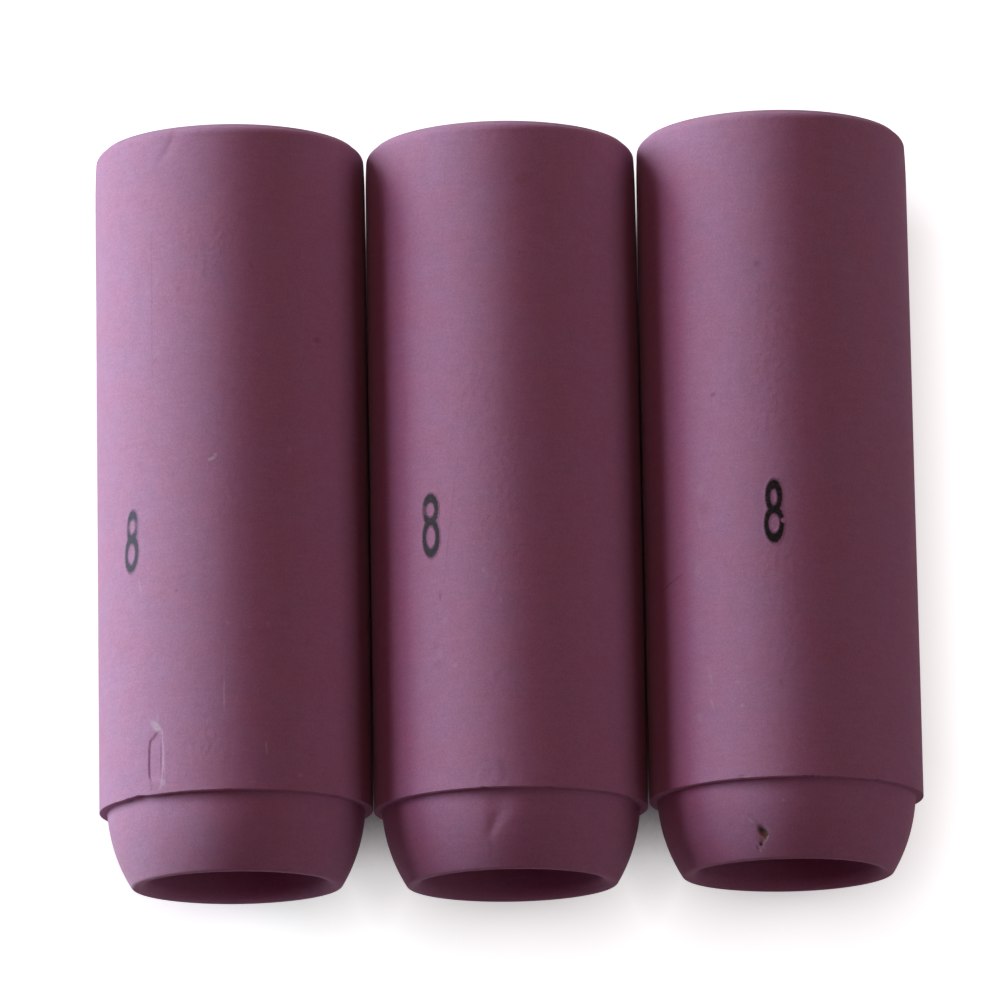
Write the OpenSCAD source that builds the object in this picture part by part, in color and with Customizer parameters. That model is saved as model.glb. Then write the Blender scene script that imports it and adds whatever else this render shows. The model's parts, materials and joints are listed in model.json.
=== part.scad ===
// Three ceramic gas nozzles (cups) for a TIG torch, laid side by side.
//
// Each nozzle is one fired alumina piece: a plain round body with a rounded
// back edge, a coarse female thread inside its back end that screws onto the
// torch's collet body, a straight gas bore, and a short nose that is stepped
// in by a ledge and rounded over to a thin lip.
//
// The axes run along Y. The noses point to -Y and the threaded ends to +Y.
// The nozzles lie on z = 0, and the origin is under the middle of the set.

/* [Body] */
// Outer diameter of the body
body_d = 17.3; // [16.5:0.1:22]
// Length of the body, from its back face to the ledge
body_l = 42.8; // [30:0.1:60]
// Radius of the rounded outer edge at the back face
back_edge_r = 0.7; // [0.4:0.1:1.2]
// Radius of the body's edge at the ledge
ledge_edge_r = 0.12; // [0.05:0.01:0.3]

/* [Nose] */
// Depth of the ledge that steps the nose in from the body
ledge_h = 0.5; // [0.3:0.05:0.7]
// Length of the nose, from the ledge to the lip
nose_l = 4.8; // [4:0.1:6]
// Angle of the nose's side to the axis where it leaves the ledge
nose_taper = 3.5; // [0:0.5:8]
// Wall of the nose where its outer arc would meet the lip's end face
lip_wall = 0.95; // [0.95:0.01:1.1]
// Radius of the lip's outer edge
lip_outer_r = 0.3; // [0.1:0.01:0.3]
// Radius of the lip's inner edge
lip_inner_r = 0.75; // [0.3:0.01:0.76]

/* [Gas bore] */
// Diameter of the straight gas bore
bore_d = 11.3; // [10.5:0.1:11.3]

/* [Thread] */
// Height by which the thread's crests stand in from the gas bore
crest_h = 0.2; // [0.18:0.01:0.5]
// Depth of the thread, from crest to root
thread_depth = 0.6; // [0.3:0.05:0.8]
// Pitch of the thread
thread_pitch = 2; // [1.5:0.1:3]
// Share of the pitch that the groove takes at the crest
groove_share = 0.4; // [0.3:0.01:0.45]
// Share of the groove's width that is left at its root
root_share = 0.45; // [0.3:0.01:0.6]
// Depth of the threaded stretch behind the lead-in
thread_l = 8; // [6:0.1:12]
// Turns over which the groove fades out at its inner end
fade_turns = 0.5; // [0.25:0.05:1]
// Height of the lead-in chamfer over the thread's root
lead_in_h = 0.3; // [0.1:0.05:0.5]

/* [Layout] */
// Gap between neighbouring nozzles
side_gap = 0.05; // [0.02:0.01:1]
// How far the middle nozzle lies ahead of its two neighbours
middle_ahead = 0.25; // [0:0.01:3]

/* [Hidden] */

$fn = 96;
fired_pink = [0.66, 0.46, 0.58];

body_r = body_d / 2;
bore_r = bore_d / 2;
total_l = body_l + nose_l;
side_pitch = body_d + side_gap;

// The nose's outer arc leaves the ledge at nose_taper and ends at the lip.
// In section, x is the distance from the axis and y runs from the lip back.
root_pt = [body_r - ledge_h, nose_l];
tip_pt = [bore_r + lip_wall, 0];
into_nose = [-cos(nose_taper), sin(nose_taper)];
arc_chord = tip_pt - root_pt;
arc_r = (arc_chord * arc_chord) / (2 * (arc_chord * into_nose));
arc_centre = root_pt + arc_r * into_nose;

// The lip's outer edge is a circle that touches the arc and the end face.
lip_centre_x = arc_centre.x + sqrt(pow(arc_r - lip_outer_r, 2) - pow(arc_centre.y - lip_outer_r, 2));
lip_centre = [lip_centre_x, lip_outer_r];
to_arc = (lip_centre - arc_centre) / norm(lip_centre - arc_centre);
to_end = [0, -1];

// The thread is a groove cut outwards from a wall at its crest radius.
crest_r = bore_r - crest_h;
root_r = crest_r + thread_depth;
lead_in_r = root_r + lead_in_h;
lead_in_l = lead_in_r - crest_r;
crest_end_y = total_l - lead_in_l - thread_l;
groove_w = groove_share * thread_pitch;
turn_steps = 24;
groove_turns = (lead_in_l + thread_l) / thread_pitch;
groove_steps = floor(groove_turns * turn_steps);
inner_r = crest_r - thread_depth;

// How far a cut runs past the face that it opens
cut = 1;

// Removes what lies outside a circle of radius r in the wedge between the
// directions a and b, which rounds a corner that the circle touches.
module round_off(centre, r, a, b) {
    translate(centre)
        difference() {
            polygon([[0, 0], 2 * r * a, 2 * r * (a + b), 2 * r * b]);
            circle(r = r);
        }
}

// Half section of the outside, filled in to the axis
module outside_section() {
    difference() {
        translate([0, nose_l])
            square([body_r, body_l]);
        round_off([body_r - back_edge_r, total_l - back_edge_r], back_edge_r, [1, 0], [0, 1]);
        round_off([body_r - ledge_edge_r, nose_l + ledge_edge_r], ledge_edge_r, [1, 0], [0, -1]);
    }
    difference() {
        intersection() {
            square([root_pt.x, nose_l + cut]);
            translate(arc_centre)
                circle(r = arc_r, $fn = 4 * $fn);
        }
        round_off(lip_centre, lip_outer_r, to_arc, to_end);
    }
}

// Half section of the gas bore, with the lip's rounded inner edge
module bore_section() {
    translate([0, -cut])
        square([bore_r, crest_end_y - crest_h + cut]);
    difference() {
        translate([0, -cut])
            square([bore_r + lip_inner_r, lip_inner_r + cut]);
        translate([bore_r + lip_inner_r, lip_inner_r])
            circle(r = lip_inner_r);
    }
}

// Half section of the opening at the thread's crests, which narrows from the
// bore below and ends in the lead-in chamfer at the back face
module crest_section() {
    polygon([
        [0, crest_end_y - crest_h - cut],
        [bore_r, crest_end_y - crest_h - cut],
        [bore_r, crest_end_y - crest_h],
        [crest_r, crest_end_y],
        [crest_r, total_l - lead_in_l],
        [lead_in_r, total_l],
        [lead_in_r, total_l + cut],
        [0, total_l + cut]
    ]);
}

// Depth of the groove at a ring, which fades out over the last turns
function groove_depth(i) =
    let (turns_left = groove_turns - i / turn_steps)
    thread_depth * min(1, max(0, turns_left / fade_turns));

// One ring of the groove: a trapezium, wide where it opens into the bore
function groove_ring(i) =
    let (
        angle = -360 * i / turn_steps,
        y = total_l + groove_w - i * thread_pitch / turn_steps,
        half_root = root_share * groove_w / 2,
        flank = (groove_w / 2 - half_root) / thread_depth,
        outer_r = crest_r + groove_depth(i),
        half_inner = half_root + flank * (outer_r - inner_r)
    )
    [
        for (p = [[inner_r, -half_inner], [outer_r, -half_root], [outer_r, half_root], [inner_r, half_inner]])
            [p[0] * cos(angle), p[0] * sin(angle), y + p[1]]
    ];

// The right-hand helical groove, as one closed tube of rings
module groove() {
    sides = 4;
    points = [for (i = [0:groove_steps]) each groove_ring(i)];
    walls = [
        for (i = [0:groove_steps - 1], k = [0:sides - 1])
            let (a = i * sides + k, b = i * sides + (k + 1) % sides)
                each [[a, b + sides, b], [a, a + sides, b + sides]]
    ];
    first_cap = [[for (k = [0:sides - 1]) k]];
    last_cap = [[for (k = [sides - 1:-1:0]) groove_steps * sides + k]];
    polyhedron(points, concat(walls, first_cap, last_cap));
}

// One nozzle standing on its lip, with its axis along Z
module nozzle() {
    difference() {
        rotate_extrude()
            difference() {
                outside_section();
                bore_section();
                crest_section();
            }
        groove();
    }
}

// Lays a nozzle down at a place in the row, counted from the middle one
module laid_nozzle(place, ahead) {
    color(fired_pink)
        translate([place * side_pitch, -(total_l + ahead) / 2, body_r])
            rotate([-90, 0, 0])
                nozzle();
}

module nozzle_left() {
    laid_nozzle(-1, -middle_ahead);
}

module nozzle_middle() {
    laid_nozzle(0, middle_ahead);
}

module nozzle_right() {
    laid_nozzle(1, -middle_ahead);
}

nozzle_left();
nozzle_middle();
nozzle_right();
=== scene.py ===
import json
import math

import bmesh
import bpy
import numpy as np
from mathutils import Matrix, Vector


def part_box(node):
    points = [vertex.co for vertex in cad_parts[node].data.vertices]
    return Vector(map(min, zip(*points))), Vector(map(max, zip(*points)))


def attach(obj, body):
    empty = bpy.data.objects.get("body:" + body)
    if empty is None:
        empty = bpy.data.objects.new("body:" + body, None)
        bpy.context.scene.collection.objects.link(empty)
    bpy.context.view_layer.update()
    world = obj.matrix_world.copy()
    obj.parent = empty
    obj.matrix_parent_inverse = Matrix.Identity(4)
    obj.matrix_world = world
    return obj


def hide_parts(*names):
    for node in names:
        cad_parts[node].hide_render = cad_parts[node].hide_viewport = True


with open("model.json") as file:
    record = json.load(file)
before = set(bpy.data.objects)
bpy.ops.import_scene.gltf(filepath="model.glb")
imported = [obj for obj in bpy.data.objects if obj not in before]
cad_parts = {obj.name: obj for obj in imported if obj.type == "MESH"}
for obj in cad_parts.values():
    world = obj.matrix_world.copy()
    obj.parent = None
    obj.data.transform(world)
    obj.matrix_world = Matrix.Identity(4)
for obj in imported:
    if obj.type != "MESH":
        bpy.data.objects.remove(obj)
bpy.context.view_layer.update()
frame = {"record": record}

# The looks of three fired alumina gas nozzles for a TIG torch.
#
# Each nozzle is one revolved mesh with a true helical thread, slight firing
# marks and its own damage, and a thin film of ink for the size number. On a
# nozzle, s is the distance from the lip along the axis and phi is the angle
# from the top towards +X. Angles are in degrees. Sizes are in millimetres until
# a mesh or a node is made, apart from those of the floor and the lamps, which
# are in metres.

MM = 0.001

# ---------------------------------------------------------------- sizes

NAMES = ("left", "middle", "right")

# Nose
nose_l = 4.8
ledge_h = 0.5
nose_taper = 3.5
ledge_edge_r = 0.05
ledge_root_r = 0.09
lip_wall = 0.95
lip_outer_r = 0.3
lip_inner_r = 0.75

# Back end
back_edge_r = 0.7
taper_l = 3.0
taper_drop = 0.1
thread_depth = 0.6
thread_pitch = 2.0
groove_share = 0.4
root_share = 0.45
fade_turns = 0.5
lead_in_h = 0.3

# Mesh steps: round the axis, along the body, nose and bore, and on the ledge,
# the cone before the thread and an arc
coarse_angle = 1.5
coarse_step = 0.8
nose_step = 0.2
bore_step = 2.4
ledge_rings = 5
cone_rings = 3
arc_steps = 8

# Mesh rows along s on each side of the groove's middle, as far as the next crest
helix_rows = (0, 0.1, 0.16, 0.2, 0.25, 0.3, 0.35, 0.4, 0.46, 0.6, 0.8)

# Width of the narrow faces that keep a rounded edge crisp
support = 0.03

# Where the outer mesh ends and the inner one begins, on the back face and in the bore
zip_r_out = 7.2
zip_r_in = 6.9
zip_s_out = 1.5
zip_s_in = 2.0


def mount(name):
    """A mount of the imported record."""
    return next(m for m in frame["record"]["mounts"] if m["name"] == name)


def nozzle_place(name):
    """Where a nozzle lies and how large it is, from its CAD node and mounts."""
    low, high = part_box("nozzle_" + name)
    return {
        "axis_x": (low.x + high.x) / 2 / MM,
        "axis_z": (low.z + high.z) / 2 / MM,
        "lip_y": low.y / MM,
        "total_l": (high.y - low.y) / MM,
        "body_r": (high.z - low.z) / 2 / MM,
        "bore_r": mount("gas_bore_" + name)["dims"]["r_mm"],
        "crest_r": mount("thread_" + name)["dims"]["r_mm"],
        "thread_l": mount("thread_" + name)["dims"]["length_mm"],
    }


def surface_point(place, s, r, phi):
    """A point in metres at s along a nozzle, r from its axis and phi round it."""
    turn = np.radians(phi)
    x = place["axis_x"] + r * np.sin(turn)
    y = place["lip_y"] + s
    z = place["axis_z"] + r * np.cos(turn)
    return np.stack(np.broadcast_arrays(x, y, z), -1) * MM


def ease(value, low, high):
    """0 below low, 1 above high and smooth in between."""
    t = np.clip((value - low) / (high - low), 0, 1)
    return t * t * (3 - 2 * t)


def stations(low, high, step, fine=()):
    """Values from low to high a step apart, with closer ones in each fine range."""
    ranges = [(a, b, d) for a, b, d in fine if a < high and b > low]
    values = list(np.linspace(low, high, max(2, round((high - low) / step) + 1)))
    values = [v for v in values if all(v < a or v > b for a, b, d in ranges)]
    for a, b, d in ranges:
        a, b = max(a, low), min(b, high)
        values += list(np.linspace(a, b, max(2, round((b - a) / d) + 1)))
    values = sorted(set(np.round(values + [low, high], 6)))
    return np.array(values)


# ---------------------------------------------------------------- relief

# Unevenness from firing: how many waves are added up, their mean depth together, what
# each one's number of turns round the nozzle stays below, and the most radians a
# millimetre by which it changes along s
firing_seed = 11
firing_waves = 7
firing_h = 0.012
firing_turns = 5
firing_along = 0.5

# Waviness of the pressed ledge edge: the numbers of waves round the nozzle, their
# height and the share of it that is used, how far it starts in front of the edge, how
# far it reaches behind it, and over what length it fades
edge_seed = 31
edge_turns = (3, 5, 8, 13, 21, 34, 55, 89)
edge_h = 0.02
edge_share = 0.25
edge_front = 0.05
edge_back = 0.9
edge_fade = 0.8


def waves(s, phi, seed):
    """Slight unevenness of a fired body, always inwards of its true surface."""
    draw = np.random.default_rng(seed)
    total = 0
    for _ in range(firing_waves):
        turns = draw.integers(0, firing_turns)
        along = draw.uniform(-firing_along, firing_along)
        start = draw.uniform(0, 2 * math.pi)
        total = total + 1 + np.sin(turns * np.radians(phi) + along * s + start)
    return firing_h * total / firing_waves


def edge_waves(phi, seed):
    """Waviness along s of a pressed edge, with integer waves round the turn."""
    draw = np.random.default_rng(seed)
    total = 0
    for turns in edge_turns:
        start = draw.uniform(0, 2 * math.pi)
        total = total + np.sin(turns * np.radians(phi) + start) / turns ** 0.5
    return edge_h * total


def bump_at(s, phi, place, centre, size, lean=0):
    """1 at a centre (s, phi), falling to 0 over size (long, wide). lean turns it to the left."""
    along = s - centre[0]
    across = np.radians(phi - centre[1]) * place["body_r"]
    tilt = math.radians(lean)
    long = (along * math.cos(tilt) - across * math.sin(tilt)) / size[0]
    wide = (across * math.cos(tilt) + along * math.sin(tilt)) / size[1]
    return np.exp(-(long ** 2 + wide ** 2))


def route(s, stops):
    """The angle at s of a line through stops (s, phi), in the order of s."""
    stop_s, stop_phi = zip(*stops)
    return np.interp(s, stop_s, stop_phi)


def back_taper(s, place):
    """The slight drop of the body towards its back edge."""
    share = np.clip((s - place["total_l"] + taper_l) / taper_l, 0, 1)
    return taper_drop * share ** 2


def scrape_depth(s, phi, place):
    """A flake scraped off just behind the ledge, deepest along its left wall."""
    depth_left, depth_right = 0.075, 0.045
    left_wall, right_wall, top_wall = 0.19, 0.16, 0.26
    foot_s, foot_l = 5.45, 0.5
    left = route(s, ((5.7, -34.6), (6.0, -35.4), (6.5, -35.6), (7.7, -35.4), (8.4, -34.8)))
    right = route(s, ((5.7, -28.1), (6.3, -27.6), (7.2, -27.3), (8.5, -27.4)))
    top_s = np.interp(phi, (-34.5, -32.6, -31.2, -30.0), (8.35, 8.52, 8.76, 8.85))
    from_left = np.radians(phi - left) * place["body_r"]
    from_right = np.radians(right - phi) * place["body_r"]
    share = np.clip(from_left / np.maximum(from_left + from_right, support), 0, 1)
    inside = ease(from_left, 0, left_wall) * ease(from_right, 0, right_wall)
    inside = inside * ease(top_s - s, 0, top_wall) * ease(s, foot_s, foot_s + foot_l)
    return inside * (depth_left + (depth_right - depth_left) * share)


def crease_depth(s, phi, place):
    """A shallow flow crease down the nose, wide at the ledge and narrow below."""
    depth, top_s, top_fade = 0.075, 4.75, 0.4
    bottom_s, bottom_fade = 1.3, 1.6
    least_half, widening, widens_from, widens_for = 0.36, 0.24, 2, 3
    middle = route(s, ((1.8, -8.6), (2.6, -5.9), (3.4, -3.4), (4.7, -3.6)))
    half = least_half + widening * np.clip(s - widens_from, 0, widens_for)
    across = np.radians(phi - middle) * place["body_r"]
    valley = np.exp(-(across / half) ** 2)
    return depth * valley * ease(s, bottom_s, bottom_s + bottom_fade) * ease(top_s - s, 0, top_fade)


def pit_depth(s, phi, place):
    """A slanting chipped pit, a smaller one below it and a faint crack that runs up from it."""
    pit_h, small_h, crack_h = 0.10, 0.05, 0.02
    crack_half, crack_foot, crack_top, crack_fade = 0.08, (1.8, 2.0), 2.9, 0.3
    pit = pit_h * bump_at(s, phi, place, (1.60, -11.7), (0.38, 0.24), lean=40)
    small = small_h * bump_at(s, phi, place, (0.87, -13.3), (0.13, 0.13))
    line = np.radians(phi - route(s, ((2.0, -13.1), (2.7, -18.3)))) * place["body_r"]
    crack = crack_h * np.exp(-(line / crack_half) ** 2)
    crack = crack * ease(s, *crack_foot) * ease(crack_top - s, 0, crack_fade)
    return np.maximum(np.maximum(pit, small), crack)


def back_nick_depth(s, phi, place):
    """A faint pressed-in fold that runs down from the back edge."""
    depth, low_s, fade = 0.035, 44.9, 0.8
    left_half, right_half = 0.26, 0.5
    middle = route(s, ((45.2, -27.2), (45.7, -25.0), (46.2, -22.6), (46.8, -20.4)))
    across = np.radians(phi - middle) * place["body_r"]
    half = np.where(across < 0, left_half, right_half)
    groove = np.exp(-(across / half) ** 2)
    return depth * groove * ease(s, low_s, low_s + fade)


RELIEF = {
    "left": (scrape_depth, back_nick_depth),
    "middle": (crease_depth,),
    "right": (pit_depth,),
}

# Chips along the ledge's edge: (phi, width, how far it goes back along s)
LEDGE_CHIPS = {
    "left": ((-41.2, 0.55, 0.10), (-47.8, 0.3, 0.05), (0.4, 0.2, 0.03)),
    "middle": ((-9.7, 0.2, 0.05), (17.9, 0.25, 0.04)),
    "right": (
        (-18.5, 0.16, 0.03),
        (7.7, 0.12, 0.07),
        (10.6, 0.14, 0.06),
        (13.5, 0.1, 0.06),
        (41.7, 0.18, 0.07),
    ),
}

# Where the mesh is finer round the nozzle and along it: (from, to, step)
FINE_ANGLES = {
    "left": ((-51, -36.4, 0.5), (-36.4, -21, 0.2)),
    "middle": ((-16, 5, 0.35),),
    "right": ((-21, -6, 0.2), (5, 15, 0.4), (39.5, 43, 0.5)),
}
FINE_STATIONS = {
    "left": ((4.9, 9.1, 0.07), (44.7, 46.9, 0.15)),
    "middle": ((0.9, 4.7, 0.1),),
    "right": ((0.45, 3.1, 0.05),),
}


def relief(name, place, s, phi):
    """How far the surface lies inside its true shape at (s, phi)."""
    depth = waves(s, phi, firing_seed + NAMES.index(name)) + back_taper(s, place)
    for mark in RELIEF[name]:
        depth = depth + mark(s, phi, place)
    return depth


def ledge_shift(name, place, s, phi):
    """How far the ledge's edge is moved back along s by waviness and chips."""
    shift = edge_share * np.abs(edge_waves(phi, edge_seed + NAMES.index(name)))
    for centre, width, back in LEDGE_CHIPS[name]:
        across = np.radians(phi - centre) * place["body_r"]
        shift = shift + back * np.exp(-(across / width) ** 2)
    near_edge = ease(s, nose_l - edge_front, nose_l) * ease(nose_l + edge_back - s, 0, edge_fade)
    return shift * near_edge


# ---------------------------------------------------------------- outline

def arc_points(centre_s, centre_r, radius, start, end, steps=arc_steps):
    """Points on an arc with their outward directions. 0 points along +s and 90 along +r."""
    turn = np.radians(np.linspace(start, end, steps + 1))
    towards = np.stack([np.cos(turn), np.sin(turn)], -1)
    return np.hstack([np.array([centre_s, centre_r]) + radius * towards, towards])


def line_points(values_s, values_r, towards):
    """Points on a line with one outward direction (along s, along r)."""
    s, r = np.broadcast_arrays(values_s, values_r)
    return np.stack([s, r, np.full(s.shape, towards[0]), np.full(s.shape, towards[1])], -1)


def nose_arc(place):
    """Centre (s, r) and radius of the nose's outer arc, and the lip circle's distance from the axis."""
    root = np.array([nose_l, place["body_r"] - ledge_h])
    tip = np.array([0.0, place["bore_r"] + lip_wall])
    taper = math.radians(nose_taper)
    inwards = np.array([math.sin(taper), -math.cos(taper)])
    chord = tip - root
    radius = chord @ chord / (2 * (chord @ inwards))
    centre = root + radius * inwards
    reach = radius - lip_outer_r
    lip_r = centre[1] + math.sqrt(reach ** 2 - (centre[0] - lip_outer_r) ** 2)
    return centre, radius, lip_r


def outside_r(place, s):
    """Radius of the outside at s, on the body or the nose."""
    centre, radius, _ = nose_arc(place)
    if s > nose_l:
        return place["body_r"]
    return centre[1] + math.sqrt(radius ** 2 - (s - centre[0]) ** 2)


def outer_outline(name, place):
    """The outside from just inside the mouth, round the lip and back to the back face."""
    body_r, bore_r, total_l = place["body_r"], place["bore_r"], place["total_l"]
    fine = FINE_STATIONS[name]
    centre, radius, lip_r = nose_arc(place)
    lip_end = math.degrees(math.atan2(lip_r - centre[1], lip_outer_r - centre[0]))
    nose_start_s = centre[0] + radius * math.cos(math.radians(lip_end))
    nose_s = stations(nose_start_s + support, nose_l - ledge_root_r, nose_step, fine)
    nose_r = centre[1] + np.sqrt(radius ** 2 - (nose_s - centre[0]) ** 2)
    nose_towards = np.stack([nose_s - centre[0], nose_r - centre[1]], -1) / radius
    root_r = nose_r[-1]
    body_end = total_l - back_edge_r
    body_s = stations(nose_l + ledge_edge_r + support, body_end - support, coarse_step, fine)
    ledge_r = np.linspace(root_r + ledge_root_r + support, body_r - ledge_edge_r - support, ledge_rings)
    fillet = arc_points(nose_l - ledge_root_r, root_r + ledge_root_r, ledge_root_r, -90, 0)
    fillet[:, 2:] *= -1
    return np.vstack([
        line_points(stations(lip_inner_r + support, zip_s_out, nose_step)[::-1], bore_r, (0, -1)),
        arc_points(lip_inner_r, bore_r + lip_inner_r, lip_inner_r, 270, 180),
        arc_points(lip_outer_r, lip_r, lip_outer_r, 180, lip_end),
        np.hstack([np.stack([nose_s, nose_r], -1), nose_towards]),
        fillet[1:],
        line_points(nose_l, ledge_r, (-1, 0)),
        arc_points(nose_l + ledge_edge_r, body_r - ledge_edge_r, ledge_edge_r, 180, 90),
        line_points(body_s, body_r, (0, 1)),
        arc_points(body_end, body_r - back_edge_r, back_edge_r, 90, 0),
        line_points(total_l, np.array([body_r - back_edge_r - support, zip_r_out]), (1, 0)),
    ])


def inner_outline(place):
    """Distances and radii of the bore and the cone before the thread, and where that starts."""
    crest_h = place["bore_r"] - place["crest_r"]
    lead_in_l = thread_depth + lead_in_h
    crest_end = place["total_l"] - lead_in_l - place["thread_l"]
    bore_s = stations(zip_s_in, crest_end - crest_h - support, bore_step)
    bore_r = np.full(bore_s.shape, place["bore_r"])
    cone_s = np.linspace(crest_end - crest_h, crest_end, cone_rings + 1)[:-1]
    cone_r = place["crest_r"] + crest_end - cone_s
    return np.append(bore_s, cone_s), np.append(bore_r, cone_r), crest_end


# ---------------------------------------------------------------- nozzle mesh

def grid_faces(first, rows, columns, closed=True):
    """Quads over a grid of vertices that is stored row by row."""
    last = columns if closed else columns - 1
    return [
        (first + k * columns + j, first + k * columns + (j + 1) % columns,
         first + (k + 1) * columns + (j + 1) % columns, first + (k + 1) * columns + j)
        for k in range(rows - 1) for j in range(last)
    ]


def zip_faces(first_a, angles_a, first_b, angles_b):
    """Triangles between two rings with different angles, both sorted from the same start."""
    faces, i, j = [], 0, 0
    count_a, count_b = len(angles_a), len(angles_b)
    while i < count_a or j < count_b:
        next_a = angles_a[i + 1] if i + 1 < count_a else 360 * (1 + (i >= count_a))
        next_b = angles_b[j + 1] if j + 1 < count_b else 360 * (1 + (j >= count_b))
        a, b = first_a + i % count_a, first_b + j % count_b
        if j >= count_b or (i < count_a and next_a <= next_b):
            faces.append((a, first_a + (i + 1) % count_a, b))
            i += 1
        else:
            faces.append((a, first_b + (j + 1) % count_b, b))
            j += 1
    return faces


def groove_shape(offset):
    """Share of the thread's depth at an offset along s from the groove's middle."""
    soft = 0.05
    half_top = groove_share * thread_pitch / 2
    half_root = root_share * half_top
    return 1 - ease(np.abs(offset), half_root - soft, half_top + soft)


def thread_wall(place, s, phase, turns_left):
    """Radius of the threaded wall at s, where phase is the offset from the groove's middle."""
    top_s = place["total_l"]
    lead_in_l = thread_depth + lead_in_h
    plain = place["crest_r"] + np.clip(s - (top_s - lead_in_l), 0, lead_in_l)
    depth = thread_depth * np.clip(turns_left / fade_turns, 0, 1)
    groove = place["crest_r"] + depth * groove_shape(phase)
    return np.maximum(plain, groove)


def thread_sheet(place, crest_end, angles):
    """Rows of s and r along the thread's own helix, cut off at the wall's two ends."""
    top_s = place["total_l"]
    groove_w = groove_share * thread_pitch
    # The CAD's groove passes top_s + groove_w at +X, so at the bottom, where the sheet
    # starts, its middle lies a quarter of a pitch past that.
    middle = (top_s + groove_w + thread_pitch / 4) % thread_pitch
    half = thread_pitch / 2
    steps = np.array(helix_rows)
    steps = np.concatenate([-steps[:0:-1], steps, [half]])
    spare = 2
    turns = np.arange(-spare, int(top_s / thread_pitch) + spare + 1)
    helix = (middle + turns[:, None] * thread_pitch + steps[None, :]).ravel()
    lead = thread_pitch * angles / 360
    helix = helix[(helix > crest_end - thread_pitch - half) & (helix < top_s + half)]
    s = np.clip(helix[:, None] + lead[None, :], crest_end, top_s)
    phase = (s - lead[None, :] - middle + half) % thread_pitch - half
    groove_l = thread_depth + lead_in_h + place["thread_l"]
    along = (top_s + groove_w - s) / thread_pitch
    turns_left = groove_l / thread_pitch - along
    return s, thread_wall(place, s, phase, turns_left)


# The relief is cut only where the surface faces this far outwards or forwards
least_outward = 0.2
least_forward = 0.9


def nozzle_mesh(name, place):
    """Builds one nozzle's mesh and returns its object."""
    angles_out = stations(-180, 180, coarse_angle, FINE_ANGLES[name])[:-1]
    angles_in = stations(-180, 180, coarse_angle)[:-1]
    outline = outer_outline(name, place)
    s, r, towards_s, towards_r = (outline[:, i:i + 1] for i in range(4))
    phi = angles_out[None, :]
    outside = (outline[:, 3] > least_outward) | (outline[:, 2] < -least_forward)
    depth = relief(name, place, s, phi) * outside[:, None]
    shift = ledge_shift(name, place, s, phi)
    outer = surface_point(place, s - towards_s * depth + shift, r - towards_r * depth, phi)

    bore_s, bore_r, crest_end = inner_outline(place)
    bore_rows = surface_point(place, bore_s[:, None], bore_r[:, None], angles_in[None, :])
    sheet_angles = np.append(angles_in, 180.0)
    sheet_s, sheet_r = thread_sheet(place, crest_end, sheet_angles + 180)
    sheet = surface_point(place, sheet_s, sheet_r, sheet_angles[None, :])
    crest_ring = surface_point(place, np.array([[crest_end]]), place["crest_r"], angles_in[None, :])
    lead_in_r = place["crest_r"] + thread_depth + lead_in_h
    face_r = np.array([[lead_in_r], [lead_in_r + support], [zip_r_in]])
    face = surface_point(place, np.full((3, 1), place["total_l"]), face_r, angles_in[None, :])

    blocks = [outer, np.vstack([bore_rows, crest_ring]), sheet, face]
    starts = np.cumsum([0] + [len(b) * b.shape[1] for b in blocks])
    faces = grid_faces(starts[0], *outer.shape[:2])
    faces += grid_faces(starts[1], len(bore_rows) + 1, len(angles_in))
    faces += grid_faces(starts[2], *sheet.shape[:2], closed=False)
    faces += grid_faces(starts[3], *face.shape[:2])
    last_outer = starts[0] + (len(outer) - 1) * len(angles_out)
    last_face = starts[3] + (len(face) - 1) * len(angles_in)
    faces += zip_faces(last_outer, angles_out + 180, last_face, angles_in + 180)
    faces += zip_faces(starts[0], angles_out + 180, starts[1], angles_in + 180)

    mesh = bpy.data.meshes.new("nozzle_" + name + "_fired")
    mesh.from_pydata(np.concatenate([b.reshape(-1, 3) for b in blocks]).tolist(), [], faces)
    close_up(mesh)
    return link(mesh)


def close_up(mesh, gap=1e-7):
    """Joins vertices that coincide, drops empty faces, faces outwards and shades smoothly."""
    work = bmesh.new()
    work.from_mesh(mesh)
    bmesh.ops.remove_doubles(work, verts=work.verts, dist=gap)
    bmesh.ops.dissolve_degenerate(work, dist=gap, edges=work.edges)
    bmesh.ops.recalc_face_normals(work, faces=work.faces)
    for face in work.faces:
        face.smooth = True
    work.to_mesh(mesh)
    work.free()


def link(mesh):
    """An object for a mesh, in the scene."""
    made = bpy.data.objects.new(mesh.name, mesh)
    bpy.context.scene.collection.objects.link(made)
    return made


# ---------------------------------------------------------------- size number

# The film of ink: its height over the surface, its depth below it, and its mesh step
film_h = 0.006
film_sink = 0.02
film_cell = 0.035

# Width of the print's feathered edge, and the mesh attribute that carries its fade
feather_w = 0.16
FADE = "ink_fade"

# How far the print's edge wanders, and the radians a millimetre (across, along) of
# the two waves that it follows
ragged_w = 0.012
ragged_waves = ((31, 17), (-9, 23))

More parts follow.
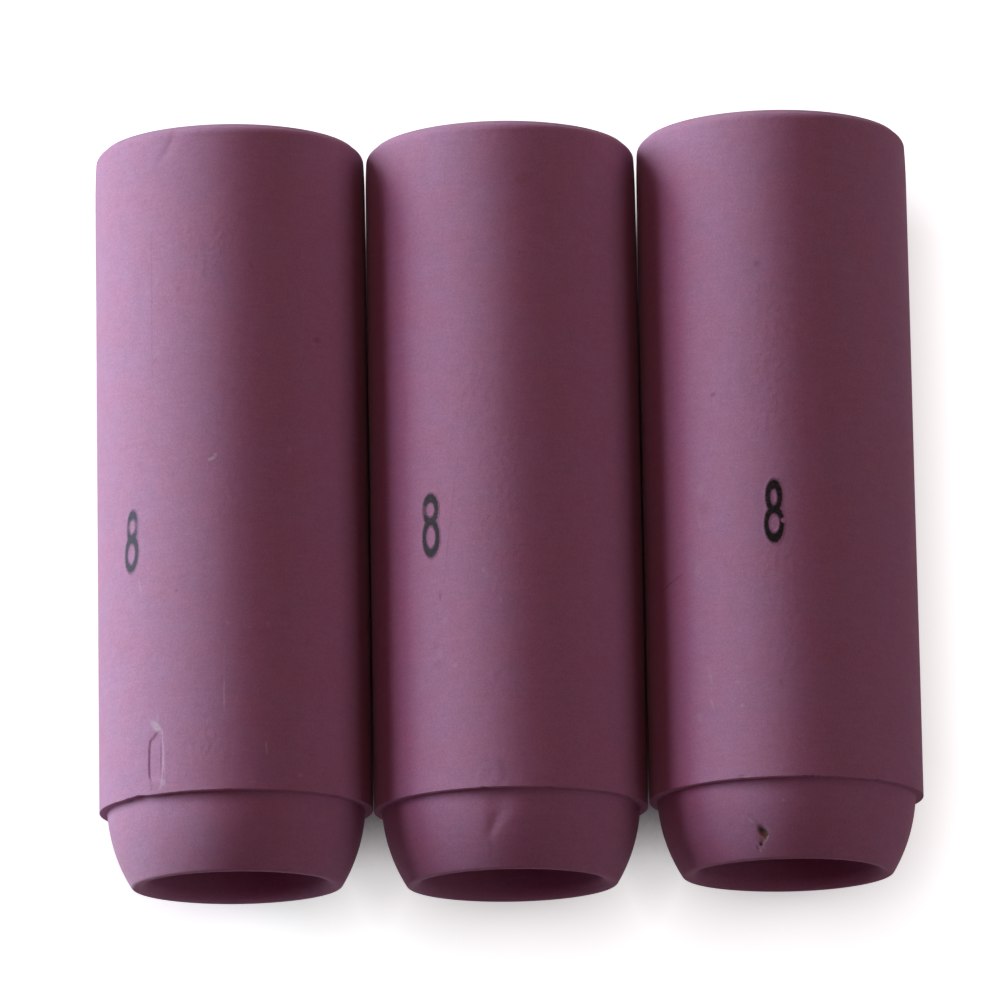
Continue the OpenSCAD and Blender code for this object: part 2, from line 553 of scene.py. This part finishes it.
# Where each number is printed (s, phi), its height and lean, how high its waist lies
# and how thick it is, then for its upper and lower loop the width, the stroke at the
# side and the stroke at the end, and where the ink didn't take: (x, y), radius, the
# share of it that is lost
NUMERALS = {
    "left": {
        "place": (21.12, -43.8),
        "height": 4.05,
        "lean": 0.05,
        "waist": (0.18, 0.66),
        "loops": ((1.06, 0.30, 0.64), (1.30, 0.33, 0.60)),
        "worn": (((-0.42, 0.95), 0.45, 0.25), ((0.45, 0.95), 0.45, 0.32), ((-0.5, -0.8), 0.4, 0.1)),
    },
    "middle": {
        "place": (21.7, -31.3),
        "height": 4.17,
        "lean": 0.0,
        "waist": (0.26, 0.6),
        "loops": ((1.24, 0.34, 0.64), (1.33, 0.34, 0.66)),
        "worn": (((-0.45, 1.0), 0.40, 0.28), ((0.45, 0.95), 0.40, 0.1), ((-0.5, -0.8), 0.5, 0.06)),
    },
    "right": {
        "place": (21.6, -2.3),
        "height": 4.12,
        "lean": 0.01,
        "waist": (0.11, 0.62),
        "loops": ((1.11, 0.36, 0.70), (1.29, 0.32, 0.68)),
        "worn": (((0.56, -0.60), 0.16, 1.0),),
    },
}


def ellipse_field(x, y, low, high, width):
    """Roughly the distance inside an ellipse from low to high along y, negative outside."""
    half_w, half_h = width / 2, (high - low) / 2
    reach = np.hypot(x / half_w, (y - (low + high) / 2) / half_h)
    return half_w * (1 - reach)


def glyph_field(shape, x, y):
    """Positive inside the printed figure 8, which is two rings that share a waist."""
    x = x - shape["lean"] * y
    waist_y, waist_h = shape["waist"]
    field = np.full(x.shape, -1.0)
    for side, (width, side_stroke, end_stroke) in zip((1, -1), shape["loops"]):
        near, far = side * waist_y - waist_h / 2, shape["height"] / 2
        outer = ellipse_field(x, side * y, near, far, width)
        hole = ellipse_field(x, side * y, near + waist_h, far - end_stroke, width - 2 * side_stroke)
        field = np.maximum(field, np.minimum(outer, -hole))
    ragged = ragged_w
    for turn_x, turn_y in ragged_waves:
        ragged = ragged * np.sin(turn_x * x + turn_y * y)
    return field + ragged


def ink_fade(shape, points):
    """How much of the ink is missing at points (x, y, distance inside the edge)."""
    x, y, inside = points.T
    left = np.clip(inside / feather_w, 0, 1)
    for (centre_x, centre_y), radius, lost in shape["worn"]:
        away = np.hypot(x - shape["lean"] * y - centre_x, y - centre_y)
        left = left * (1 - lost * np.exp(-(away / radius) ** 4))
    return 1 - left


def cut_cells(field, x, y):
    """Points (x, y, field) and polygons of the region where field is positive."""
    points, lookup, faces = [], {}, []

    def corner(i, j):
        if (i, j) not in lookup:
            lookup[i, j] = len(points)
            points.append((x[i, j], y[i, j], field[i, j]))
        return lookup[i, j]

    def crossing(a, b):
        key = (min(a, b), max(a, b))
        if key not in lookup:
            share = field[a] / (field[a] - field[b])
            lookup[key] = len(points)
            points.append((x[a] + (x[b] - x[a]) * share, y[a] + (y[b] - y[a]) * share, 0.0))
        return lookup[key]

    for i in range(field.shape[0] - 1):
        for j in range(field.shape[1] - 1):
            ring = [(i, j), (i + 1, j), (i + 1, j + 1), (i, j + 1)]
            face = []
            for a, b in zip(ring, ring[1:] + ring[:1]):
                if field[a] > 0:
                    face.append(corner(*a))
                if (field[a] > 0) != (field[b] > 0):
                    face.append(crossing(a, b))
            if len(face) > 2:
                faces.append(face)
    return np.array(points), faces


def numeral_film(name, place):
    """The printed size number as a thin closed film that follows its nozzle's surface."""
    shape = NUMERALS[name]
    margin = 0.2
    half_w = max(width for width, *_ in shape["loops"]) / 2 + margin
    half_h = shape["height"] / 2 + margin
    across = np.arange(-half_w, half_w, film_cell)
    along = np.arange(-half_h, half_h, film_cell)
    x, y = np.meshgrid(across, along, indexing="ij")
    points, faces = cut_cells(glyph_field(shape, x, y) + feather_w / 2, x, y)
    s = shape["place"][0] + points[:, 1]
    phi = shape["place"][1] + np.degrees(points[:, 0] / place["body_r"])
    level = place["body_r"] - relief(name, place, s, phi)
    top = surface_point(place, s, level + film_h, phi)
    bottom = surface_point(place, s, level - film_sink, phi)
    count = len(points)
    sides = {}
    for face in faces:
        for a, b in zip(face, face[1:] + face[:1]):
            sides[a, b] = (b, a) not in sides
            if not sides[a, b]:
                del sides[a, b], sides[b, a]
    walls = [(b, a, a + count, b + count) for a, b in sides]
    under = [[i + count for i in reversed(face)] for face in faces]
    mesh = bpy.data.meshes.new("size_number_" + name)
    mesh.from_pydata(np.vstack([top, bottom]).tolist(), [], faces + under + walls)
    fade = np.tile(ink_fade(shape, points), 2)
    mesh.attributes.new(FADE, "FLOAT", "POINT").data.foreach_set("value", fade)
    close_up(mesh, gap=1e-9)
    return link(mesh)


# ---------------------------------------------------------------- materials

alumina_pink = (0.455, 0.225, 0.365)
alumina_warm = (0.475, 0.215, 0.34)
# Pale scuffs, and also a painted highlight on the lit wall of the left nozzle's scrape
scuff_and_highlight_pale = (0.62, 0.50, 0.56)
# Dark marks, and also painted shade on the scrape's left wall and along the middle nozzle's crease
mark_dark = (0.16, 0.05, 0.08)
soot_olive = (0.040, 0.045, 0.018)
rust_brown = (0.24, 0.085, 0.04)
# Tan marks, and also a painted highlight on a chip's edge at the right nozzle's ledge
dry_tan_and_highlight = (0.60, 0.50, 0.40)

# Patterns: the width of their features, the part of the noise's range that they use,
# and the levels that it gives
MOTTLE = (2.6, (0.35, 0.65), (0, 1))
SPECKLE = (0.11, (0.25, 0.75), (0.91, 1.09))
CLOUD = (0.7, (0.3, 0.7), (0.97, 1.03))
TURNED = (0.25, (0.3, 0.7), (0.975, 1.025))
PEBBLED = (5.0, (0.4, 0.65), (1.0, 3.5))
CERAMIC_DULL = (0.9, (0.3, 0.7), (0.72, 0.84))
INK_DULL = (0.3, (0.3, 0.7), (0.5, 0.65))
FLOOR_SHADE = (300, (0.3, 0.7), (0.97, 1.0))

# How the turned pattern is drawn out round the nozzle
turned_stretch = (0.15, 1, 0.15)

# Coloured grain: its width, how much it tints and the level that it starts from
tint_w = 0.22
tint_strength = 0.14
tint_level = 0.93

# Grain in the relief: the widths of the fine one and the pebbled one, and its height
fine_w = 0.10
pebble_w = 0.4
grain_h = 0.02

# Shader values, the same all over a surface
ceramic_bump = 0.35
ceramic_specular = 0.06
sheen = 0.15
sheen_roughness = 0.5
ink_bump = 0.2
ink_specular = 0.03

# The colours of marks, in the order in which they lie on each other, and how much
# of a mark is left where the grain breaks it up most
MARK_LOOKS = {
    "dark": (mark_dark, 0.55),
    "pale": (scuff_and_highlight_pale, 0.55),
    "soot": (soot_olive, 0.85),
    "rust": (rust_brown, 0.7),
    "tan": (dry_tan_and_highlight, 0.7),
}

# How marks end: the share of their size at which they start and are full, their
# reach in depth, the width and reach of the wobble of their outline, and the width
# and range of the grain that breaks them up
mark_edge = (1.25, 0.55)
mark_depth = 1.5
wobble_w = 0.25
wobble_reach = 0.12
broken_w = 0.16
broken_range = (0.35, 0.6)

# Marks that are colour alone: kind, (s, phi), (length along, width across), lean, strength
MARKS = {
    "left": (
        ("pale", (25.83, -5.0), (0.26, 0.5), 20, 0.7),
        ("pale", (26.05, -3.4), (0.28, 0.3), 20, 0.5),
        ("pale", (9.05, -30.8), (1.1, 0.48), 45, 0.65),
        ("pale", (9.6, -30.4), (0.7, 0.25), -15, 0.25),
        ("pale", (5.5, -27.9), (0.42, 0.42), 0, 0.5),
        ("pale", (5.3, -28.8), (0.65, 0.25), -35, 0.35),
        # Painted highlight: the lit right wall of the scrape, drawn as a pale line
        ("pale", (6.8, -27.2), (2.4, 0.18), 1, 0.3),
        ("dark", (7.0, -28.9), (2.3, 0.16), 0, 0.45),
        # Painted shade: the shadowed left wall of the scrape, drawn as a dark line
        ("dark", (6.85, -35.0), (2.3, 0.15), 0, 0.35),
        ("pale", (10.75, -0.7), (2.3, 0.12), 0, 0.5),
        ("pale", (13.0, -0.5), (2.4, 0.10), 0, 0.16),
        ("pale", (7.43, 16.6), (0.9, 0.14), 3, 0.55),
        ("pale", (15.33, 1.0), (0.22, 0.22), 0, 0.35),
        ("pale", (15.04, 10.3), (0.2, 0.24), 0, 0.3),
        ("pale", (15.26, 17.7), (0.24, 0.2), 0, 0.35),
        ("pale", (5.8, 31.3), (0.3, 0.25), 0, 0.4),
        ("pale", (26.47, 28.4), (0.45, 0.35), 0, 0.3),
        ("pale", (39.63, -33.5), (0.5, 0.3), 20, 0.13),
        ("pale", (37.52, -29.2), (0.5, 0.3), -10, 0.13),
        ("pale", (32.97, -28.8), (0.5, 0.4), 0, 0.13),
        ("pale", (5.25, 10.5), (0.15, 0.5), 0, 0.3),
        ("dark", (36.89, -18.8), (0.4, 0.35), 0, 0.2),
        ("dark", (33.80, 42.4), (0.4, 0.7), 0, 0.35),
        ("dark", (38.27, 12.3), (0.5, 0.3), 30, 0.25),
        ("dark", (36.10, -31.6), (9.0, 0.14), 0, 0.15),
        ("dark", (32.43, -30.6), (0.12, 0.6), 40, 0.25),
        ("dark", (17.56, -20.9), (0.25, 0.25), 0, 0.3),
        ("dark", (5.3, -33.7), (0.6, 0.2), 0, 0.22),
        ("pale", (18.16, -39.2), (0.9, 0.16), 10, 0.3),
    ),
    "middle": (
        ("rust", (43.72, 12.0), (0.8, 1.2), 20, 0.2),
        ("dark", (38.86, 9.3), (0.25, 0.2), 0, 0.3),
        ("dark", (17.16, -27.3), (0.6, 0.25), 0, 0.35),
        ("dark", (14.08, -29.5), (0.7, 0.5), 20, 0.15),
        ("dark", (12.89, -28.9), (0.5, 0.5), 0, 0.14),
        ("pale", (13.49, -27.8), (0.8, 0.5), 15, 0.12),
        ("pale", (15.57, -25.1), (0.4, 0.4), 0, 0.14),
        ("pale", (12.66, -20.8), (0.3, 0.4), 30, 0.16),
        ("dark", (21.6, -22.1), (9.0, 0.12), -8, 0.16),
        # Painted shade: the shaded side of the nose crease, carried down towards the lip
        ("dark", (1.2, -8.8), (1.2, 0.3), -9, 0.16),
        ("pale", (18.54, -7.7), (0.35, 0.3), 0, 0.25),
        ("pale", (16.66, -0.8), (0.7, 0.12), 25, 0.2),
        ("dark", (5.84, -1.7), (1.8, 0.5), 10, 0.2),
    ),
    "right": (
        ("soot", (1.59, -11.7), (0.95, 0.52), 40, 0.95),
        ("soot", (0.88, -13.3), (0.24, 0.22), 0, 0.9),
        ("soot", (1.02, -12.9), (0.36, 0.18), 0, 0.45),
        ("soot", (0.70, -15.7), (0.36, 0.18), 30, 0.45),
        ("rust", (1.42, -12.1), (0.75, 0.28), 55, 0.75),
        ("rust", (1.25, -12.4), (0.7, 0.9), 0, 0.25),
        ("tan", (1.22, -9.9), (0.36, 0.11), -35, 0.85),
        ("tan", (1.01, -11.4), (0.40, 0.13), -47, 0.85),
        ("tan", (0.55, -14.3), (0.38, 0.12), 16, 0.7),
        ("dark", (2.17, -14.1), (0.6, 0.09), 42, 0.3),
        ("dark", (2.64, -16.9), (0.45, 0.16), 67, 0.25),
        ("pale", (2.30, -17.1), (0.4, 0.16), 38, 0.4),
        ("dark", (37.49, -6.9), (0.45, 0.5), 0, 0.3),
        ("dark", (29.36, -27.4), (0.3, 0.5), 30, 0.4),
        ("pale", (32.34, 30.8), (0.7, 0.2), 0, 0.2),
        ("dark", (17.84, -53.4), (3.0, 0.13), -72, 0.45),
        ("pale", (23.4, -34.8), (0.7, 0.5), 15, 0.16),
        ("pale", (21.4, -35.6), (1.2, 0.4), 10, 0.14),
        ("pale", (18.3, -37.1), (1.0, 0.45), -10, 0.16),
        ("pale", (11.5, -32.0), (1.3, 0.3), 15, 0.16),
        ("pale", (8.95, -37.5), (0.7, 0.5), 0, 0.16),
        ("pale", (9.4, -17.5), (0.25, 0.3), 0, 0.3),
        ("pale", (17.5, 0.1), (0.25, 0.3), 0, 0.25),
        ("dark", (22.22, -32.9), (0.9, 0.8), 0, 0.15),
        ("pale", (9.72, -31.4), (0.9, 0.2), 20, 0.25),
        ("dark", (10.72, -1.2), (0.5, 0.3), 15, 0.24),
        ("pale", (10.91, -19.2), (0.15, 0.5), 0, 0.3),
        ("pale", (3.43, -1.7), (0.2, 0.25), 0, 0.35),
        # Painted highlight: the lit edge of a chip on the ledge
        ("tan", (4.9, -17.0), (0.12, 0.7), 0, 0.22),
        ("dark", (4.97, -18.7), (0.2, 0.5), 0, 0.35),
    ),
}


# Sockets of a Mix node that mixes colours
MIX_SHARE = 0
MIX_BELOW = 6
MIX_ABOVE = 7
MIX_RESULT = 2


def add_node(tree, kind, inputs=None, **settings):
    """A node with its settings, and its inputs linked or set."""
    made = tree.nodes.new(kind)
    for key, value in settings.items():
        setattr(made, key, value)
    for key, value in (inputs or {}).items():
        if isinstance(value, bpy.types.NodeSocket):
            tree.links.new(value, made.inputs[key])
        else:
            made.inputs[key].default_value = value
    return made


def math_node(tree, operation, *values):
    """The output of a Math node."""
    return add_node(tree, "ShaderNodeMath", dict(enumerate(values)), operation=operation).outputs[0]


def vector_node(tree, operation, inputs):
    """A Vector Math node with its inputs linked or set."""
    return add_node(tree, "ShaderNodeVectorMath", inputs, operation=operation)


def mix_colour(tree, share, below, above):
    """Colour above laid over colour below by a share."""
    above, below = (c if isinstance(c, bpy.types.NodeSocket) else (*c, 1) for c in (above, below))
    inputs = {MIX_SHARE: share, MIX_BELOW: below, MIX_ABOVE: above}
    return add_node(tree, "ShaderNodeMix", inputs, data_type="RGBA").outputs[MIX_RESULT]


def colour_noise(tree, position, feature):
    """Noise with a value of its own in each of three channels, as wide as feature."""
    inputs = {"Vector": position, "Scale": 1 / (feature * MM)}
    return add_node(tree, "ShaderNodeTexNoise", inputs).outputs["Color"]


def noise(tree, position, feature, detail=2.0, stretch=(1, 1, 1), roughness=0.5):
    """Noise from 0 to 1 whose features are about as wide as feature, in millimetres."""
    scaled = vector_node(tree, "MULTIPLY", {0: position, 1: stretch}).outputs[0]
    inputs = {"Vector": scaled, "Scale": 1 / (feature * MM), "Detail": detail, "Roughness": roughness}
    return add_node(tree, "ShaderNodeTexNoise", inputs).outputs["Fac"]


def spread(tree, value, low, high, to_low, to_high):
    """value from low..high mapped to to_low..to_high and clamped."""
    inputs = {"Value": value, "From Min": low, "From Max": high, "To Min": to_low, "To Max": to_high}
    return add_node(tree, "ShaderNodeMapRange", inputs, clamp=True).outputs[0]


def pattern(tree, position, look, **noise_look):
    """Noise by a pattern's look: width of its features, range used and levels given."""
    width, used, levels = look
    return spread(tree, noise(tree, position, width, **noise_look), *used, *levels)


def mark_share(tree, position, place, centre, size, lean, strength):
    """Share of one mark at a position: an ellipse on the surface with a soft edge."""
    s, phi = centre
    turn, tilt = math.radians(phi), math.radians(lean)
    across = Vector((math.cos(turn), 0, -math.sin(turn)))
    along = Vector((0, 1, 0))
    outward = Vector((math.sin(turn), 0, math.cos(turn)))
    axis_a = math.cos(tilt) * across + math.sin(tilt) * along
    axis_b = -math.sin(tilt) * across + math.cos(tilt) * along
    facing = Matrix((axis_a, axis_b, outward)).transposed()
    inputs = {
        "Vector": position,
        "Location": Vector(surface_point(place, s, outside_r(place, s), phi)),
        "Rotation": facing.to_euler(),
        "Scale": (size[1] / 2 * MM, size[0] / 2 * MM, mark_depth * MM),
    }
    local = add_node(tree, "ShaderNodeMapping", inputs, vector_type="TEXTURE").outputs[0]
    away = vector_node(tree, "LENGTH", {0: local}).outputs["Value"]
    return spread(tree, away, *mark_edge, 0, strength)


def marks_share(tree, position, name, place, kind, least):
    """The strongest of a nozzle's marks of one kind, broken up by noise."""
    wobble = colour_noise(tree, position, wobble_w)
    wobble = vector_node(tree, "SUBTRACT", {0: wobble, 1: (0.5,) * 3}).outputs[0]
    wobble = vector_node(tree, "SCALE", {0: wobble, "Scale": wobble_reach * MM}).outputs[0]
    near = vector_node(tree, "ADD", {0: position, 1: wobble}).outputs[0]
    total = 0.0
    for mark_kind, centre, size, lean, strength in MARKS[name]:
        if mark_kind == kind:
            share = mark_share(tree, near, place, centre, size, lean, strength)
            total = math_node(tree, "MAXIMUM", total, share)
    broken = pattern(tree, position, (broken_w, broken_range, (least, 1.0)))
    return math_node(tree, "MULTIPLY", total, broken)


def alumina_colour(tree, position, name, place):
    """Fired pink alumina: mottled, finely speckled, faintly turned and marked by handling, with some
    marks that are painted shade and painted highlight at the scrape, the crease and a chip.
    """
    mottle = pattern(tree, position, MOTTLE, detail=3)
    colour = mix_colour(tree, mottle, alumina_pink, alumina_warm)
    tint = {0: colour_noise(tree, position, tint_w), 1: (tint_strength,) * 3, 2: (tint_level,) * 3}
    tint = vector_node(tree, "MULTIPLY_ADD", tint).outputs[0]
    colour = vector_node(tree, "MULTIPLY", {0: colour, 1: tint}).outputs[0]
    speckle = pattern(tree, position, SPECKLE, detail=1)
    cloud = pattern(tree, position, CLOUD)
    turned = pattern(tree, position, TURNED, stretch=turned_stretch)
    level = math_node(tree, "MULTIPLY", math_node(tree, "MULTIPLY", speckle, cloud), turned)
    colour = vector_node(tree, "SCALE", {0: colour, "Scale": level}).outputs[0]
    for kind, (mark_colour, least) in MARK_LOOKS.items():
        if any(mark[0] == kind for mark in MARKS[name]):
            share = marks_share(tree, position, name, place, kind, least)
            colour = mix_colour(tree, share, colour, mark_colour)
    return colour


def new_material(title):
    """An empty node material with its output and Principled shader, and the object position."""
    material = bpy.data.materials.new(title)
    material.use_nodes = True
    tree = material.node_tree
    tree.nodes.clear()
    shader = add_node(tree, "ShaderNodeBsdfPrincipled")
    add_node(tree, "ShaderNodeOutputMaterial", {"Surface": shader.outputs[0]})
    position = add_node(tree, "ShaderNodeTexCoord").outputs["Object"]
    return material, tree, shader, position


def grain_bump(tree, position, strength):
    """A bump normal for the grain of pressed and fired powder, pebbled in patches."""
    fine = noise(tree, position, fine_w, roughness=0.6)
    pebbles = noise(tree, position, pebble_w, detail=1)
    patches = pattern(tree, position, PEBBLED)
    height = math_node(tree, "MULTIPLY_ADD", pebbles, patches, fine)
    inputs = {"Height": height, "Strength": strength, "Distance": grain_h * MM}
    return add_node(tree, "ShaderNodeBump", inputs).outputs[0]


def alumina_material(name, place):
    """Matt unglazed alumina with this nozzle's own marks."""
    material, tree, shader, position = new_material("fired_alumina_" + name)
    colour = alumina_colour(tree, position, name, place)
    dull = pattern(tree, position, CERAMIC_DULL)
    tree.links.new(colour, shader.inputs["Base Color"])
    tree.links.new(dull, shader.inputs["Roughness"])
    tree.links.new(grain_bump(tree, position, ceramic_bump), shader.inputs["Normal"])
    shader.inputs["Specular IOR Level"].default_value = ceramic_specular
    shader.inputs["Sheen Weight"].default_value = sheen
    shader.inputs["Sheen Roughness"].default_value = sheen_roughness
    return material


# How much less the ink covers where it is worn thin, and the width and range of that wear
ink_thin = 0.08
ink_wear_w = 0.22
ink_wear_range = (0.30, 0.55)

# The grain that breaks up the feathered edge: its width and strength, and the fade
# over which the ink goes from whole to none
feather_grain_w = 0.12
feather_grain = 0.6
feather_range = (0.42, 1.18)

# The most that the ink covers and its colour. The left and middle colours are paler and bluer than the
# right one's: partly faded ink, partly a painted sheen of the cool window light
INK_AND_SHEEN = {
    "left": (0.86, (0.030, 0.055, 0.062)),
    "middle": (0.92, (0.019, 0.036, 0.034)),
    "right": (1.0, (0.018, 0.016, 0.015)),
}


def ink_material(name, place):
    """Printed ink with a feathered edge, worn through to the alumina here and there."""
    material, tree, shader, position = new_material("ink_" + name)
    ceramic = alumina_colour(tree, position, name, place)
    # The left and middle ink colours hold a painted sheen as well as the ink's own colour
    cover, ink_and_sheen_colour = INK_AND_SHEEN[name]
    worn = pattern(tree, position, (ink_wear_w, ink_wear_range, (cover - ink_thin, cover)), detail=3)
    fade = add_node(tree, "ShaderNodeAttribute", attribute_name=FADE).outputs["Fac"]
    fade = math_node(tree, "MULTIPLY_ADD", noise(tree, position, feather_grain_w), feather_grain, fade)
    inked = math_node(tree, "MULTIPLY", worn, spread(tree, fade, *feather_range, 1, 0))
    colour = mix_colour(tree, inked, ceramic, ink_and_sheen_colour)
    tree.links.new(colour, shader.inputs["Base Color"])
    tree.links.new(pattern(tree, position, INK_DULL), shader.inputs["Roughness"])
    tree.links.new(grain_bump(tree, position, ink_bump), shader.inputs["Normal"])
    shader.inputs["Specular IOR Level"].default_value = ink_specular
    return material


# ---------------------------------------------------------------- floor and light

floor_size = 3.0
floor_colour = (0.78, 0.77, 0.78)

# The floor's white glow is painted shade: it fades with how open the floor is within the first reach
# below, a painted contact shadow round the nozzles, and with how open it is within the second, over a
# part of that one's range, painted dark in the gaps under and between them
contact_shade_reach = 0.006
shadow_power = 0.9
gap_shade_reach = 0.02
gap_shade_range = (0.12, 0.3)

# Light from all round
fill_colour = (1.0, 0.20, 0.30)
fill_strength = 0.063

# The power that an area lamp needs for each unit of its area and of its face's brightness
LAMP_POWER = 4

# A cool window light from the left, a little behind, and weak ones from the right and
# above: title, azimuth, elevation, distance, width, height, strength, colour
LAMPS = (
    ("window_low", 160, 7.5, 0.5, 0.36, 0.13, 11.4, (0.43, 1.0, 0.825)),
    ("window_high", 158, 15, 0.5, 0.36, 0.215, 6.55, (0.97, 0.77, 1.0)),
    ("fill", 0, 35, 0.7, 0.5, 0.3, 0.95, (1.0, 0.92, 0.94)),
    ("card_above", 100, 55, 0.2, 0.2, 0.12, 0.24, (1.0, 0.6, 0.37)),
)


def seen_directly(tree):
    """1 for camera, glossy and transmission rays, which see the plain background."""
    path = add_node(tree, "ShaderNodeLightPath").outputs
    shown = math_node(tree, "MAXIMUM", path["Is Camera Ray"], path["Is Glossy Ray"])
    return math_node(tree, "MAXIMUM", shown, path["Is Transmission Ray"])


def floor_material():
    """Pale floor that takes the object's shadow and looks white where nothing covers it, with its white
    glow dimmed into painted shade near and between the nozzles.
    """
    material, tree, shader, position = new_material("pale_floor")
    shade = pattern(tree, position, FLOOR_SHADE)
    colour = vector_node(tree, "SCALE", {0: floor_colour, "Scale": shade}).outputs[0]
    tree.links.new(colour, shader.inputs["Base Color"])
    shader.inputs["Roughness"].default_value = 1.0
    shader.inputs["Specular IOR Level"].default_value = 0.0
    # Occlusion dims the white glow: a painted contact shadow round the nozzles and painted dark in the
    # gaps under and between them
    near = add_node(tree, "ShaderNodeAmbientOcclusion", {"Distance": contact_shade_reach}).outputs["AO"]
    far = add_node(tree, "ShaderNodeAmbientOcclusion", {"Distance": gap_shade_reach}).outputs["AO"]
    near = math_node(tree, "POWER", near, shadow_power)
    far = spread(tree, far, *gap_shade_range, 0, 1)
    glow_with_painted_shade = math_node(tree, "MULTIPLY", math_node(tree, "MULTIPLY", near, far), seen_directly(tree))
    shader.inputs["Emission Color"].default_value = (1, 1, 1, 1)
    tree.links.new(glow_with_painted_shade, shader.inputs["Emission Strength"])
    return material


def make_floor():
    """A large plain floor that the nozzles lie on."""
    half = floor_size / 2
    mesh = bpy.data.meshes.new("floor")
    corners = [(-half, -half, 0), (half, -half, 0), (half, half, 0), (-half, half, 0)]
    mesh.from_pydata(corners, [], [(0, 1, 2, 3)])
    mesh.materials.append(floor_material())
    floor = link(mesh)


def make_world():
    """Dim reddish light from all round, in a background that looks plain white."""
    world = bpy.data.worlds.new("studio")
    bpy.context.scene.world = world
    world.use_nodes = True
    tree = world.node_tree
    tree.nodes.clear()
    fill_look = {"Color": (*fill_colour, 1), "Strength": fill_strength}
    fill = add_node(tree, "ShaderNodeBackground", fill_look)
    white = add_node(tree, "ShaderNodeBackground", {"Color": (1, 1, 1, 1), "Strength": 1.0})
    inputs = {0: seen_directly(tree), 1: fill.outputs[0], 2: white.outputs[0]}
    shown = add_node(tree, "ShaderNodeMixShader", inputs)
    add_node(tree, "ShaderNodeOutputWorld", {"Surface": shown.outputs[0]})


def soft_lamp(title, azimuth, elevation, distance, width, height, strength, colour):
    """An area lamp that faces the nozzles. Azimuth goes from +X to +Y, and strength is its brightness."""
    light = bpy.data.lights.new(title, "AREA")
    light.shape = "RECTANGLE"
    light.size, light.size_y = width, height
    light.energy = LAMP_POWER * width * height * strength
    light.color = colour
    lamp = bpy.data.objects.new(title, light)
    turn, rise = math.radians(azimuth), math.radians(elevation)
    out = Vector((math.cos(turn) * math.cos(rise), math.sin(turn) * math.cos(rise), math.sin(rise)))
    lamp.location = out * distance
    lamp.rotation_mode = "QUATERNION"
    lamp.rotation_quaternion = out.to_track_quat("Z", "Y")
    lamp.visible_camera = False
    bpy.context.scene.collection.objects.link(lamp)


# ---------------------------------------------------------------- camera

# Where the camera stands, seen from its target. Its azimuth goes from -Y to +X.
camera_elevation = 77.749
camera_azimuth = 8.81
camera_roll = -0.997
camera_distance = 497.3
camera_target = (-0.363, 0.896, 8.65)
camera_lens = 281.634
sensor_w = 36

# The nearest and the farthest that the camera sees, in metres
camera_clip = (0.01, 10)


def make_camera():
    """The camera at the photographed angle."""
    rise, turn, roll = (math.radians(a) for a in (camera_elevation, camera_azimuth, camera_roll))
    back = Vector((math.sin(turn) * math.cos(rise), -math.cos(turn) * math.cos(rise), math.sin(rise)))
    right = Vector((0, 1, 0)).cross(back).normalized()
    up = back.cross(right)
    right, up = (
        math.cos(roll) * right + math.sin(roll) * up,
        math.cos(roll) * up - math.sin(roll) * right,
    )
    data = bpy.data.cameras.new("camera")
    data.lens = camera_lens
    data.sensor_width = sensor_w
    data.clip_start, data.clip_end = camera_clip
    camera = bpy.data.objects.new("camera", data)
    place = (Vector(camera_target) + camera_distance * back) * MM
    camera.matrix_world = Matrix.Translation(place) @ Matrix((right, up, back)).transposed().to_4x4()
    bpy.context.scene.collection.objects.link(camera)
    bpy.context.scene.camera = camera


# ---------------------------------------------------------------- build

def build_nozzle(name):
    """One nozzle with its finish and its printed size number, riding on its body."""
    place = nozzle_place(name)
    nozzle = nozzle_mesh(name, place)
    nozzle.data.materials.append(alumina_material(name, place))
    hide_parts("nozzle_" + name)
    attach(nozzle, name)
    number = numeral_film(name, place)
    number.data.materials.append(ink_material(name, place))
    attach(number, name)


bpy.context.scene.view_settings.view_transform = "Standard"
make_camera()
make_world()
for lamp_row in LAMPS:
    soft_lamp(*lamp_row)
make_floor()
for nozzle_name in NAMES:
    build_nozzle(nozzle_name)
